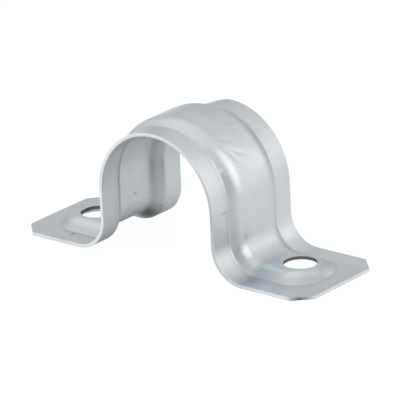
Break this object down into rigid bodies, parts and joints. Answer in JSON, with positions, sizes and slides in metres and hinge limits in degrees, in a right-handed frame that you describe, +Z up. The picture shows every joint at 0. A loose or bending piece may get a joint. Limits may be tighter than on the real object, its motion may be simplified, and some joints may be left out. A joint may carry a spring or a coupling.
{
  "type": "conduit strap",
  "caption": "Pressed sheet-steel saddle strap that arches over a conduit, with a stiffening rib along its middle and a screw hole in each foot.",
  "frame": {"origin": "on the plane that the feet rest on, midway between the feet and midway across the strap's width", "axes": "+X along the strap from foot to foot, +Y along the conduit's axis, +Z up, away from the surface that the strap is screwed to"},
  "size_m": [0.0476, 0.016, 0.019],
  "materials": {
    "zinc_plated_steel": "satin zinc plating on thin steel sheet"
  },
  "bodies": {
    "root": {"strap": "zinc_plated_steel"}
  },
  "joints": []
}
